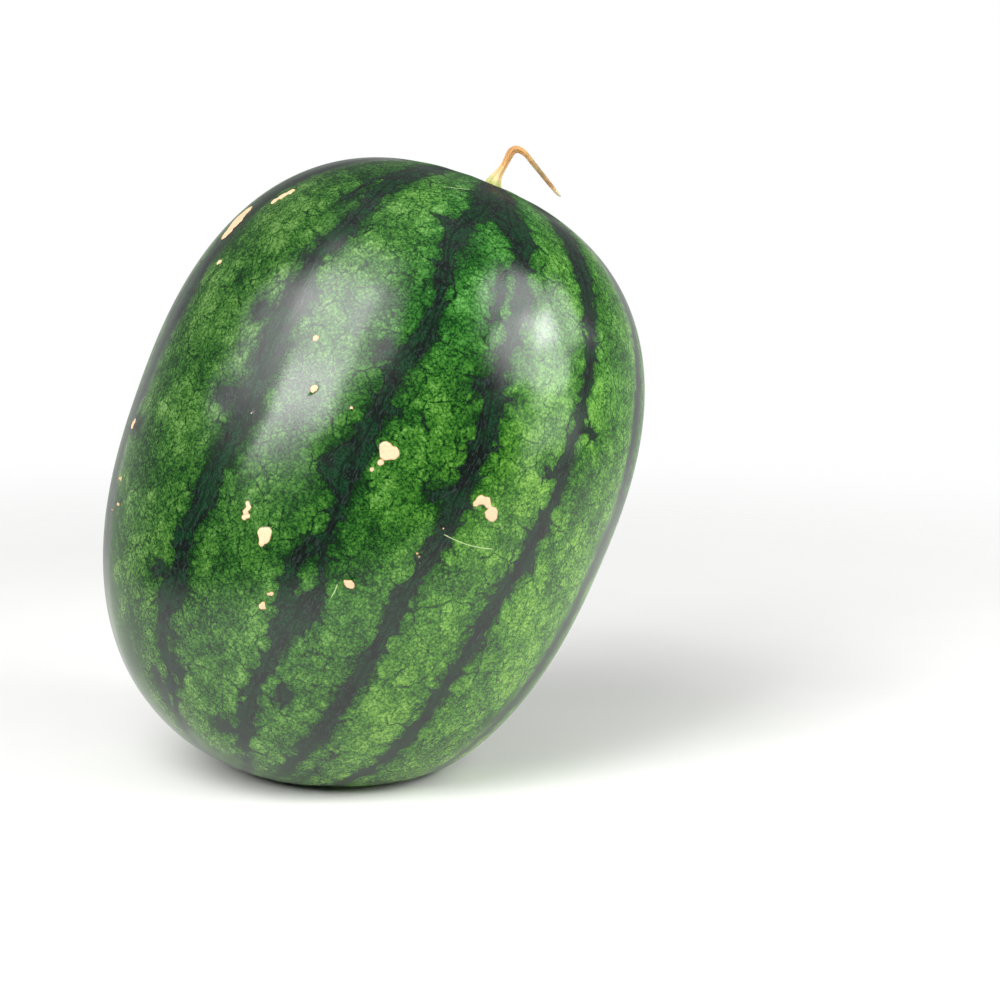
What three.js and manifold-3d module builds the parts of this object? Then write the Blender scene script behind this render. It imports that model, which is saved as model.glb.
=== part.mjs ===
// A striped watermelon with its dried stem, leaning on the soft flat of its underside.
// Millimetres, +Z up. The origin is the middle of the flat that the fruit rests on.
//
// The fruit's own frame has its middle at the origin, +Z through the stem end,
// +X to the right and +Y to the back. It is leant right and back, then lifted onto the ground.

import * as THREE from 'three';
import { mergeVertices } from 'three/addons/utils/BufferGeometryUtils.js';
import Module from 'manifold-3d';

// Fruit
const FRUIT_LENGTH = 266.4; // pole to pole
const FRUIT_WIDTH = 207.2; // across the middle
const FULLNESS = 2.435; // exponent of the side's curve: 2 is an ellipse, more is fuller
const STEM_END_SWELL = 0.045; // how much wider the stem half is, and how much narrower the other
const LEAN_RIGHT = 21.57; // degrees
const LEAN_BACK = 10; // degrees
const FRUIT_MIDDLE = new THREE.Vector3(11.7, 4.9, 121.3); // from the middle of the flat

// Shallow dips where the stem and the blossom grew
const STEM_DIP = 0.8;
const STEM_DIP_RADIUS = 12;
const BLOSSOM_DIP = 1.0;
const BLOSSOM_DIP_RADIUS = 7;

// Underside, pressed flat where the fruit lay on the ground as it grew
const FLAT_SOFTNESS = 7; // half the height over which the side curves into the flat
const FLAT_TRIM = 0.15; // taken off the lowest skin, so that the flat has a clean outline

// Dried stem: points of its middle line from its foot up, over the hook and down to the cut tip,
// as distance to the right of its foot, to the back, above the foot, and half its thickness
const STEM_OFFSET = 3.1; // the foot's middle, to the right of the fruit's pole
const STEM_LINE = [
  [0.0, 0.0, 0.0, 3.6],
  [0.1, 0.0, 1.6, 2.8],
  [0.2, 0.0, 3.6, 2.1],
  [0.5, 0.0, 6.2, 1.75],
  [1.3, 0.1, 10.4, 1.45],
  [1.8, 0.3, 14.6, 1.6],
  [3.0, 0.6, 17.6, 1.4],
  [6.6, 1.0, 18.4, 1.3],
  [11.3, 1.3, 15.9, 1.15],
  [15.1, 1.4, 13.9, 1.05],
  [19.3, 1.2, 11.6, 0.95],
  [23.6, 0.8, 9.1, 0.9],
  [27.2, 0.4, 7.2, 0.7],
];
const STEM_RIDGES = 5;
const STEM_RIDGE_RELIEF = 0.13; // share of the radius
const STEM_FOOT_HEIGHT = 3; // over which the foot's curve to fit the skin fades out
const STEM_GAP = 0.3; // clear of the skin

// Fineness
const FRUIT_SEGMENTS = 72;
const FRUIT_ROWS = 50;
const STEM_STEPS = 30;
const STEM_SIDES = 15;

const HALF_LENGTH = FRUIT_LENGTH / 2;
const HALF_WIDTH = FRUIT_WIDTH / 2;

// Half the fruit's width at a share of its half length, from -1 at the blossom to 1 at the stem.
function halfWidth(share) {
  const fullness = (1 - Math.abs(share) ** FULLNESS) ** (1 / FULLNESS);
  return HALF_WIDTH * (1 + STEM_END_SWELL * share) * fullness;
}

function dip(depth, radius, distance) {
  return depth * Math.exp(-((distance / radius) ** 2));
}

// The skin's height along the fruit's axis around the stem, at a distance from that axis.
function skinHeight(distance) {
  const across = distance / (HALF_WIDTH * (1 + STEM_END_SWELL));
  const share = (1 - across ** FULLNESS) ** (1 / FULLNESS);
  return HALF_LENGTH * share - dip(STEM_DIP, STEM_DIP_RADIUS, distance);
}

// The side's curve from the blossom end to the stem end, as points evenly spaced along it.
function sideProfile() {
  const samples = 600;
  const points = [];
  for (let i = 0; i <= samples; i++) {
    const angle = Math.PI * (i / samples - 0.5);
    const share = Math.sign(angle) * Math.abs(Math.sin(angle)) ** (2 / FULLNESS);
    const across = i % samples === 0 ? 0 : halfWidth(share);
    const sunk = dip(STEM_DIP, STEM_DIP_RADIUS, across) * (share > 0)
      - dip(BLOSSOM_DIP, BLOSSOM_DIP_RADIUS, across) * (share < 0);
    points.push(new THREE.Vector2(across, HALF_LENGTH * share - sunk));
  }
  const even = new THREE.SplineCurve(points).getSpacedPoints(FRUIT_ROWS);
  even[0].x = 0;
  even[FRUIT_ROWS].x = 0;
  return even;
}

const lean = new THREE.Matrix4().makeRotationFromEuler(
  new THREE.Euler(
    THREE.MathUtils.degToRad(-LEAN_BACK),
    THREE.MathUtils.degToRad(LEAN_RIGHT),
    0,
    'XYZ',
  ),
);

// Height over the flat's plane once the underside is pressed: none below, a soft curve, then as grown.
function pressed(height) {
  if (height <= -FLAT_SOFTNESS) return 0;
  if (height >= FLAT_SOFTNESS) return height;
  return (height + FLAT_SOFTNESS) ** 2 / (4 * FLAT_SOFTNESS);
}

const wasm = await Module();
wasm.setup();

// A closed geometry as a solid, with shared vertices joined and the poles' flat slivers left out.
function solidOf(geometry) {
  const bare = geometry.clone();
  bare.deleteAttribute('normal');
  bare.deleteAttribute('uv');
  const merged = mergeVertices(bare, 1e-4);
  const corners = merged.index.array;
  const kept = [];
  for (let i = 0; i < corners.length; i += 3) {
    const [a, b, c] = [corners[i], corners[i + 1], corners[i + 2]];
    if (a !== b && b !== c && c !== a) kept.push(a, b, c);
  }
  return new wasm.Manifold(
    new wasm.Mesh({
      numProp: 3,
      vertProperties: merged.attributes.position.array,
      triVerts: new Uint32Array(kept),
    }),
  );
}

function geometryOf(solid) {
  const mesh = solid.getMesh();
  const geometry = new THREE.BufferGeometry();
  geometry.setAttribute('position', new THREE.BufferAttribute(mesh.vertProperties, 3));
  geometry.setIndex(new THREE.BufferAttribute(mesh.triVerts, 1));
  geometry.computeVertexNormals();
  return geometry;
}

// The whole fruit: its profile turned about its axis, leant, pressed and trimmed underneath.
function makeFruit() {
  const turned = new THREE.LatheGeometry(sideProfile(), FRUIT_SEGMENTS);
  turned.rotateX(Math.PI / 2);
  turned.applyMatrix4(lean);
  turned.translate(FRUIT_MIDDLE.x, FRUIT_MIDDLE.y, FRUIT_MIDDLE.z);
  const position = turned.attributes.position;
  for (let i = 0; i < position.count; i++) {
    position.setZ(i, pressed(position.getZ(i) + FLAT_TRIM) - FLAT_TRIM);
  }
  const slabHeight = 20;
  const slab = new THREE.BoxGeometry(FRUIT_WIDTH, FRUIT_WIDTH, slabHeight);
  slab.translate(0, 0, -slabHeight / 2);
  return geometryOf(solidOf(turned).subtract(solidOf(slab)));
}

// The dried stem: a ridged tube along its middle line, its foot following the skin.
function makeStem() {
  const places = STEM_LINE.map(([right, back, up]) => new THREE.Vector3(right, back, up));
  const curve = new THREE.CatmullRomCurve3(places, false, 'centripetal');
  const halfThickness = (t) => {
    const at = t * (STEM_LINE.length - 1);
    const before = Math.min(Math.floor(at), STEM_LINE.length - 2);
    return THREE.MathUtils.lerp(STEM_LINE[before][3], STEM_LINE[before + 1][3], at - before);
  };
  const back = new THREE.Vector3(0, 1, 0);
  const rings = [];
  for (let step = 0; step <= STEM_STEPS; step++) {
    const t = step / STEM_STEPS;
    const middle = curve.getPoint(t);
    const ahead = step === 0 ? new THREE.Vector3(0, 0, 1) : curve.getTangent(t);
    const side = new THREE.Vector3().crossVectors(back, ahead).normalize();
    const out = new THREE.Vector3().crossVectors(ahead, side);
    const ring = [];
    for (let corner = 0; corner < STEM_SIDES; corner++) {
      const angle = (2 * Math.PI * corner) / STEM_SIDES;
      const ridge = 1 + STEM_RIDGE_RELIEF * Math.cos(STEM_RIDGES * angle);
      const reach = halfThickness(t) * ridge;
      ring.push(
        middle
          .clone()
          .addScaledVector(side, reach * Math.cos(angle))
          .addScaledVector(out, reach * Math.sin(angle)),
      );
    }
    rings.push(ring);
  }
  const footLevel = skinHeight(STEM_OFFSET);
  for (const point of rings.flat()) {
    point.x += STEM_OFFSET;
    const footness = Math.max(0, 1 - point.z / STEM_FOOT_HEIGHT);
    const skin = skinHeight(Math.hypot(point.x, point.y));
    point.z += STEM_GAP + THREE.MathUtils.lerp(footLevel, skin, footness);
  }
  return tubeOf(rings);
}

// A closed tube through rings of points, with a fan of triangles over each end.
function tubeOf(rings) {
  const sides = rings[0].length;
  const points = rings.flat();
  const last = rings.length - 1;
  const faces = [];
  for (let row = 0; row < last; row++) {
    for (let corner = 0; corner < sides; corner++) {
      const next = (corner + 1) % sides;
      const [a, b] = [row * sides + corner, row * sides + next];
      const [c, d] = [a + sides, b + sides];
      faces.push(a, b, d, a, d, c);
    }
  }
  for (const [row, turn] of [[0, -1], [last, 1]]) {
    const middle = points.length;
    const ring = rings[row];
    const centre = ring
      .reduce((sum, point) => sum.add(point), new THREE.Vector3())
      .divideScalar(sides);
    points.push(centre);
    for (let corner = 0; corner < sides; corner++) {
      const here = row * sides + corner;
      const next = row * sides + ((corner + 1) % sides);
      faces.push(middle, ...(turn > 0 ? [here, next] : [next, here]));
    }
  }
  const geometry = new THREE.BufferGeometry().setFromPoints(points);
  geometry.setIndex(faces);
  geometry.computeVertexNormals();
  return geometry;
}

const rindMaterial = new THREE.MeshStandardMaterial({
  color: 0x2f6a2c,
  roughness: 0.32,
  metalness: 0,
});
const stemMaterial = new THREE.MeshStandardMaterial({
  color: 0xa87b48,
  roughness: 0.8,
  metalness: 0,
});

const melon = new THREE.Mesh(makeFruit(), rindMaterial);
melon.name = 'melon';

const stem = new THREE.Mesh(makeStem(), stemMaterial);
stem.name = 'stem';

const leant = new THREE.Group();
leant.add(stem);
leant.applyMatrix4(lean);
leant.position.copy(FRUIT_MIDDLE);

const watermelon = new THREE.Group();
watermelon.add(melon, leant);

export default watermelon;
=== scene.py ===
"""A whole striped watermelon with its dried stem, resting on a pale studio floor.

The fruit's own frame has its middle at the origin, +Z through the stem end, +X to the right and
+Y to the back. Sizes of the fruit and the stem are in millimetres in that frame. Places on the
skin are a latitude, from -90 at the blossom end to 90 at the stem, and a longitude, 0 at the
front and growing to the right, both in degrees.
"""

from __future__ import annotations

import logging
import math
from collections.abc import Callable
from dataclasses import dataclass, field
from enum import Enum

import bmesh
import bpy
import numpy as np
from mathutils import Euler, Matrix, Vector

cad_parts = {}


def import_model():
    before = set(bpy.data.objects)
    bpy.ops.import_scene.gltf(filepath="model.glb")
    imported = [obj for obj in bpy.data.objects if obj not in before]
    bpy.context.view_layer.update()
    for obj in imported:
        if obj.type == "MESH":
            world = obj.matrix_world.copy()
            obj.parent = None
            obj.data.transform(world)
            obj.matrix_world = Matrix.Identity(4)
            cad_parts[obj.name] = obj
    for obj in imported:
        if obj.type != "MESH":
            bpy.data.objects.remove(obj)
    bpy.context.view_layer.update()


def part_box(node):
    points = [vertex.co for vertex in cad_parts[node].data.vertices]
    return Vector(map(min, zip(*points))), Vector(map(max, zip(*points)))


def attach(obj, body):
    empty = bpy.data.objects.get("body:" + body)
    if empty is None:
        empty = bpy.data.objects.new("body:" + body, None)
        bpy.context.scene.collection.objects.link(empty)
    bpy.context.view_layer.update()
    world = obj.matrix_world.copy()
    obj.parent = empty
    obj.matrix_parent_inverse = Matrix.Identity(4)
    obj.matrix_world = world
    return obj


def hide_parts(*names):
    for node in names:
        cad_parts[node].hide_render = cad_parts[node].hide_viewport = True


LOG = logging.getLogger("watermelon")
MM = 0.001  # metres in a millimetre
Array = np.ndarray
COLOUR = tuple[float, float, float, float]
FAR = 99.0  # millimetres that stand for nowhere near
SAME_SIDE = 20.0  # millimetres in or out past which a point isn't at a mark
FIELD_LIMIT = 30.0  # millimetres kept on a mesh's points, either way
TINY = 1e-6  # keeps a division from dividing by nothing


def srgb(red: int, green: int, blue: int) -> COLOUR:
    """A linear opaque colour from its 0 to 255 display values."""
    def linear(level: int) -> float:
        """One channel made linear."""
        share = level / 255
        return share / 12.92 if share <= 0.04045 else ((share + 0.055) / 1.055) ** 2.4

    return (linear(red), linear(green), linear(blue), 1.0)


def wrapped(degrees: Array) -> Array:
    """Angles brought into -180 to 180 degrees."""
    return (degrees + 180) % 360 - 180


def smooth_min(first: Array, second: Array, reach: float) -> Array:
    """The lower of two fields, with a rounded join where they are less than a reach apart."""
    blend = np.clip(0.5 + 0.5 * (second - first) / reach, 0, 1)
    return second + (first - second) * blend - reach * blend * (1 - blend)


def eased(values: Array, low: float, high: float) -> Array:
    """A smooth step from 0 at low to 1 at high, where low may be the larger."""
    share = np.clip((values - low) / (high - low), 0, 1)
    return share * share * (3 - 2 * share)


def points_of(mesh: bpy.types.Mesh) -> Array:
    """A mesh's points."""
    points = np.empty(len(mesh.vertices) * 3, dtype=np.float32)
    mesh.vertices.foreach_get("co", points)
    return points.reshape(-1, 3).astype(float)


def mesh_of(bm: bmesh.types.BMesh, name: str) -> bpy.types.Mesh:
    """A mesh made of a bmesh, which is freed."""
    mesh = bpy.data.meshes.new(name)
    bm.to_mesh(mesh)
    bm.free()
    return mesh


def piece_of(
    mesh: bpy.types.Mesh, points: Array, fields: dict[str, Array]
) -> bpy.types.Object:
    """Puts a mesh in the scene as a smooth piece of the same name.

    Args:
        mesh: the mesh.
        points: where its points go, in millimetres.
        fields: numbers for each point, which its material reads.

    Returns:
        The piece.
    """
    mesh.vertices.foreach_set("co", (points * MM).astype(np.float32).ravel())
    for name, values in fields.items():
        layer = mesh.attributes.new(name, "FLOAT", "POINT")
        kept = np.clip(values, -FIELD_LIMIT, FIELD_LIMIT)
        layer.data.foreach_set("value", kept.astype(np.float32))
    mesh.shade_smooth()
    mesh.update()
    piece = bpy.data.objects.new(mesh.name, mesh)
    bpy.context.scene.collection.objects.link(piece)
    return piece


class Axis(Enum):
    """An axis of a place, as an output of the node that takes it apart."""

    X = 0
    Y = 1
    Z = 2


class Paint(Enum):
    """What a patch on the skin is coloured as."""

    STRIPE = "stripe"
    RIND = "rind"


def operator(operation: str, reflected: bool = False) -> Callable[..., Signal]:
    """A method that adds a Math node, the signal it belongs to last where it is reflected."""
    def method(self: Signal, *others: Signal | float) -> Signal:
        """The node's result."""
        values = (*others, self) if reflected else (self, *others)
        return self.graph.add(
            "ShaderNodeMath", {"operation": operation}, dict(enumerate(values))
        )

    return method


class Signal:
    """A number or colour in a node tree, whose operators add Math nodes."""

    __add__ = operator("ADD")
    __radd__ = operator("ADD", reflected=True)
    __sub__ = operator("SUBTRACT")
    __rsub__ = operator("SUBTRACT", reflected=True)
    __mul__ = operator("MULTIPLY")
    __rmul__ = operator("MULTIPLY", reflected=True)
    __truediv__ = operator("DIVIDE")
    __rtruediv__ = operator("DIVIDE", reflected=True)
    __pow__ = operator("POWER")
    __abs__ = operator("ABSOLUTE")
    most = operator("MAXIMUM")

    def __init__(self, graph: Graph, socket: bpy.types.NodeSocket) -> None:
        """Wraps one output socket of a graph."""
        self.graph = graph
        self.socket = socket

    def step(self, low: float, high: float) -> Signal:
        """A smooth step from 0 at low to 1 at high, where low may be the larger."""
        return self.graph.add(
            "ShaderNodeMapRange",
            {"interpolation_type": "SMOOTHSTEP"},
            {"Value": self, "From Min": low, "From Max": high},
        )


class Graph:
    """The node tree of one material, or of the room around the scene."""

    def __init__(self, owner: bpy.types.Material | bpy.types.World) -> None:
        """Empties its owner's tree."""
        self.owner = owner
        owner.use_nodes = True
        self.tree = owner.node_tree
        self.tree.nodes.clear()

    @classmethod
    def of_material(cls, name: str) -> Graph:
        """The empty tree of a new material."""
        return cls(bpy.data.materials.new(name))

    def add(
        self,
        kind: str,
        settings: dict[str, object] | None = None,
        inputs: dict[str | int, object] | None = None,
        output: int | None = 0,
    ) -> Signal | None:
        """Adds a node, its settings first and then its inputs.

        Args:
            kind: the node's type.
            settings: properties to set, and "stops" for a ramp's positions and colours.
            inputs: a value or a Signal for each named or numbered socket.
            output: which output is wanted, or None at the end of the tree.

        Returns:
            That output.
        """
        node = self.tree.nodes.new(kind)
        for name, value in (settings or {}).items():
            if name == "stops":
                self._set_stops(node.color_ramp, value)
            else:
                setattr(node, name, value)
        for key, value in (inputs or {}).items():
            if isinstance(value, Signal):
                self.tree.links.new(value.socket, node.inputs[key])
            else:
                node.inputs[key].default_value = value
        return None if output is None else Signal(self, node.outputs[output])

    @staticmethod
    def _set_stops(ramp: bpy.types.ColorRamp, stops: tuple[tuple[float, COLOUR], ...]) -> None:
        """Gives a ramp its stops."""
        while len(ramp.elements) < len(stops):
            ramp.elements.new(1.0)
        for element, (position, colour) in zip(ramp.elements, stops):
            element.position = position
            element.color = colour

    def attribute(self, name: str) -> Signal:
        """A number stored on the mesh's points."""
        return self.add("ShaderNodeAttribute", {"attribute_name": name}, output=2)

    def place(self, frame: Matrix | None = None) -> Signal:
        """The point in millimetres, in the object's frame or in another given in metres."""
        middle = frame.to_translation() if frame else Vector()
        turn = frame.to_euler() if frame else Euler()
        spot = self.add("ShaderNodeTexCoord", output=3)
        return self.add(
            "ShaderNodeMapping",
            {"vector_type": "TEXTURE"},
            {"Vector": spot, "Location": middle, "Rotation": turn, "Scale": (MM, MM, MM)},
        )

    def part(self, vector: Signal, axis: Axis) -> Signal:
        """A vector's length along one axis."""
        return self.add("ShaderNodeSeparateXYZ", None, {0: vector}, output=axis.value)

    def vector_maths(self, operation: str, *values: object, output: int = 0) -> Signal:
        """The result of one Vector Math node, its inputs in order."""
        return self.add(
            "ShaderNodeVectorMath", {"operation": operation}, dict(enumerate(values)), output
        )

    def noise(
        self,
        place: Signal,
        size: float,
        detail: float = 2.0,
        roughness: float = 0.5,
        colour: bool = False,
    ) -> Signal:
        """Soft noise about 0.5.

        Args:
            place: where, in millimetres.
            size: the size of its features, in millimetres.
            detail: how many finer layers are added.
            roughness: how strong the finer layers are.
            colour: three numbers instead of one.

        Returns:
            The noise.
        """
        return self.add(
            "ShaderNodeTexNoise",
            None,
            {"Vector": place, "Scale": 1 / size, "Detail": detail, "Roughness": roughness},
            output=1 if colour else 0,
        )

    def borders(self, place: Signal, size: float) -> Signal:
        """Distance in millimetres to the nearest border between cells of a size."""
        return size * self.add(
            "ShaderNodeTexVoronoi",
            {"feature": "DISTANCE_TO_EDGE"},
            {"Vector": place, "Scale": 1 / size},
        )

    def nudged(self, place: Signal, size: float, amount: float) -> Signal:
        """A place shifted by noise of a size, by up to half an amount."""
        noise = self.noise(place, size, colour=True)
        centred = self.vector_maths("SUBTRACT", noise, (0.5, 0.5, 0.5))
        return self.vector_maths("MULTIPLY_ADD", centred, (amount, amount, amount), place)

    def mix(self, share: Signal | float, first: Signal | COLOUR, second: Signal | COLOUR) -> Signal:
        """A colour between two, the first at share 0 and the second at 1."""
        return self.add(
            "ShaderNodeMix", {"data_type": "RGBA"}, {0: share, 6: first, 7: second}, output=2
        )

    def tinted(self, colour: Signal, tint: tuple[float, float, float], share: Signal) -> Signal:
        """A colour multiplied by a tint where the share is 1."""
        return self.mix(share, colour, self.vector_maths("MULTIPLY", colour, tint))

    def ramp(self, share: Signal, stops: tuple[tuple[float, COLOUR], ...]) -> Signal:
        """A colour read off a ramp."""
        return self.add("ShaderNodeValToRGB", {"stops": stops}, {0: share})

    def bump(self, height: Signal, depth: float) -> Signal:
        """A normal from a height of 0 to 1, where 1 stands a depth in millimetres high."""
        return self.add("ShaderNodeBump", None, {"Height": height, "Distance": depth * MM})

    def finish(self, inputs: dict[str | int, object]) -> bpy.types.Material:
        """Ends the material in one Principled surface with these sockets."""
        surface = self.add("ShaderNodeBsdfPrincipled", None, inputs)
        self.add("ShaderNodeOutputMaterial", None, {"Surface": surface}, output=None)
        return self.owner


@dataclass(frozen=True)
class FruitShape:
    """The form of the fruit, in millimetres and degrees."""

    length: float = 266.4
    width: float = 207.2
    fullness: float = 2.435
    stem_end_swell: float = 0.045
    lean_right: float = 21.57
    lean_back: float = 10.0
    stem_dip: float = 1.9
    stem_dip_radius: float = 12.0
    blossom_dip: float = 1.0
    blossom_dip_radius: float = 7.0
    flat_softness: float = 7.0
    flat_trim: float = 0.15

    def across(self, latitude: Array) -> Array:
        """The distance from the fruit's axis at each latitude."""
        share = np.sin(np.radians(latitude))
        full = np.maximum(0, 1 - np.abs(share) ** self.fullness) ** (1 / self.fullness)
        return self.width / 2 * (1 + self.stem_end_swell * share) * full

    def along(self, latitude: Array) -> Array:
        """The height along the fruit's axis at each latitude, dips included."""
        across = self.across(latitude)
        at_stem = self.stem_dip * np.exp(-((across / self.stem_dip_radius) ** 2))
        at_blossom = self.blossom_dip * np.exp(-((across / self.blossom_dip_radius) ** 2))
        share = np.sin(np.radians(latitude))
        return self.length / 2 * share - np.where(share > 0, at_stem, -at_blossom)

    def arc(self, latitude: Array) -> Array:
        """The length of skin from the blossom end to each latitude."""
        knots = np.linspace(-90, 90, 3601)
        across, along = self.across(knots), self.along(knots)
        steps = np.hypot(np.diff(across), np.diff(along))
        return np.interp(latitude, knots, np.concatenate([[0], np.cumsum(steps)]))

    def latitude_at(self, share: Array) -> Array:
        """The latitude a share of the way along the skin, from blossom to stem."""
        knots = np.linspace(-90, 90, 3601)
        lengths = self.arc(knots)
        return np.interp(share * lengths[-1], lengths, knots)

    def points(self, latitude: Array, longitude: Array) -> Array:
        """Points of the skin in the fruit's own frame."""
        across, turn = self.across(latitude), np.radians(longitude)
        return np.stack(
            [across * np.sin(turn), -across * np.cos(turn), self.along(latitude)], axis=-1
        )

    def outward(self, latitude: Array, longitude: Array) -> Array:
        """The skin's outward directions in the fruit's own frame."""
        nudge, turn = 0.05, np.radians(longitude)
        low, high = np.maximum(latitude - nudge, -90), np.minimum(latitude + nudge, 90)
        rise, spread = self.along(high) - self.along(low), self.across(high) - self.across(low)
        size = np.hypot(rise, spread)
        rise, spread = rise / size, spread / size
        return np.stack([rise * np.sin(turn), -rise * np.cos(turn), -spread], axis=-1)

    def lean(self) -> Matrix:
        """The turn that leans the fruit right, then back."""
        right = Matrix.Rotation(math.radians(self.lean_right), 4, "Y")
        return Matrix.Rotation(math.radians(-self.lean_back), 4, "X") @ right

    def placed(self, points: Array, middle: Vector) -> Array:
        """Points of the fruit's frame leant, with its middle put at a place."""
        return points @ np.array(self.lean().to_3x3()).T + np.array(middle)

    def settled(self, heights: Array) -> Array:
        """Heights over the ground once the underside has been pressed into its soft flat."""
        over = heights + self.flat_trim
        soft = self.flat_softness
        curve = (over + soft) ** 2 / (4 * soft)
        pressed = np.where(over <= -soft, 0, np.where(over >= soft, over, curve))
        return np.maximum(pressed - self.flat_trim, 0)


@dataclass(frozen=True)
class Stripe:
    """A dark stripe, as its left and right edge at a few latitudes, from the stem down."""

    edges: tuple[tuple[float, float, float], ...]

    def gap_and_middle(
        self, shape: FruitShape, latitude: Array, longitude: Array
    ) -> tuple[Array, Array]:
        """How far places are from the stripe.

        Args:
            shape: the fruit it runs over.
            latitude: the places' latitudes.
            longitude: the places' longitudes.

        Returns:
            Millimetres outside its edge, below 0 inside, and millimetres right of its middle.
        """
        knots, left, right = np.array(self.edges)[::-1].T
        left = np.interp(latitude, knots, left)
        right = np.interp(latitude, knots, right)
        degree = np.radians(shape.across(latitude))
        middle = wrapped(longitude - (left + right) / 2) * degree
        return np.abs(middle) - (right - left) / 2 * degree, middle


@dataclass(frozen=True)
class Patch:
    """An oval of stripe colour beside a stripe, or of rind colour inside one."""

    latitude: float
    longitude: float
    height: float
    width: float
    turn: float = 0.0
    paint: Paint = Paint.STRIPE

    def gap(
        self, shape: FruitShape, latitude: Array, longitude: Array
    ) -> Array:
        """Millimetres outside its edge, below 0 inside."""
        degree = math.radians(float(shape.across(np.array(self.latitude))))
        right = wrapped(longitude - self.longitude) * np.radians(shape.across(latitude))
        up = shape.arc(latitude) - shape.arc(np.array(self.latitude))
        turn = math.radians(self.turn)
        along = up * math.cos(turn) + right * math.sin(turn)
        across = right * math.cos(turn) - up * math.sin(turn)
        high = self.height / 2 * float(shape.arc(np.array(0.5)) - shape.arc(np.array(-0.5)))
        wide = self.width / 2 * degree
        share = np.hypot(across / wide, along / high) + TINY
        slope = np.hypot(across / wide**2, along / high**2) / share + TINY
        return (share - 1) / slope


@dataclass(frozen=True)
class Scar:
    """A healed corky mark: where it is, and its round lobes as right, up and radius."""

    latitude: float
    longitude: float
    lobes: tuple[tuple[float, float, float], ...]
    turn: float = 21.6
    join: float = 0.9

    def flat_places(self, shape: FruitShape, points: Array) -> tuple[Array, ...]:
        """How far points lie to the right, up and outward from its middle.

        Args:
            shape: the fruit it is on.
            points: points of the skin, in the fruit's frame.

        Returns:
            The three distances, with the mark's turn taken off.
        """
        latitude, longitude = np.array(self.latitude), np.array(self.longitude)
        apart = points - shape.points(latitude, longitude)
        out = shape.outward(latitude, longitude)
        turn, lean = math.radians(self.longitude), math.radians(self.turn)
        east = np.array([math.cos(turn), math.sin(turn), 0.0])
        north = np.cross(out, east)
        right = east * math.cos(lean) + north * math.sin(lean)
        up = north * math.cos(lean) - east * math.sin(lean)
        return apart @ right, apart @ up, apart @ out

    def gap(self, shape: FruitShape, points: Array) -> Array:
        """Millimetres outside its edge, below 0 inside."""
        right, up, deep = self.flat_places(shape, points)
        gap = np.full(len(points), FAR)
        for across, above, radius in self.lobes:
            gap = smooth_min(gap, np.hypot(right - across, up - above) - radius, self.join)
        return np.where(np.abs(deep) < SAME_SIDE, gap, FAR)


@dataclass(frozen=True)
class Scratch(Scar):
    """A thin pale line between its lobes' middles, which bows down by a sag."""

    sag: float = 0.0

    def line(self, shape: FruitShape, points: Array) -> tuple[Array, Array]:
        """How far points are from the line.

        Args:
            shape: the fruit it is on.
            points: points of the skin, in the fruit's frame.

        Returns:
            Millimetres above the line, and millimetres beyond its nearer end.
        """
        right, up, deep = self.flat_places(shape, points)
        start, end = np.array(self.lobes[0][:2]), np.array(self.lobes[-1][:2])
        length = float(np.linalg.norm(end - start))
        way = (end - start) / length
        along = (right - start[0]) * way[0] + (up - start[1]) * way[1]
        above = (up - start[1]) * way[0] - (right - start[0]) * way[1]
        share = along / length
        above = above + 4 * self.sag * share * (1 - share)
        beyond = np.abs(along - length / 2) - length / 2
        return above, np.where(np.abs(deep) < SAME_SIDE, beyond, FAR)


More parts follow.
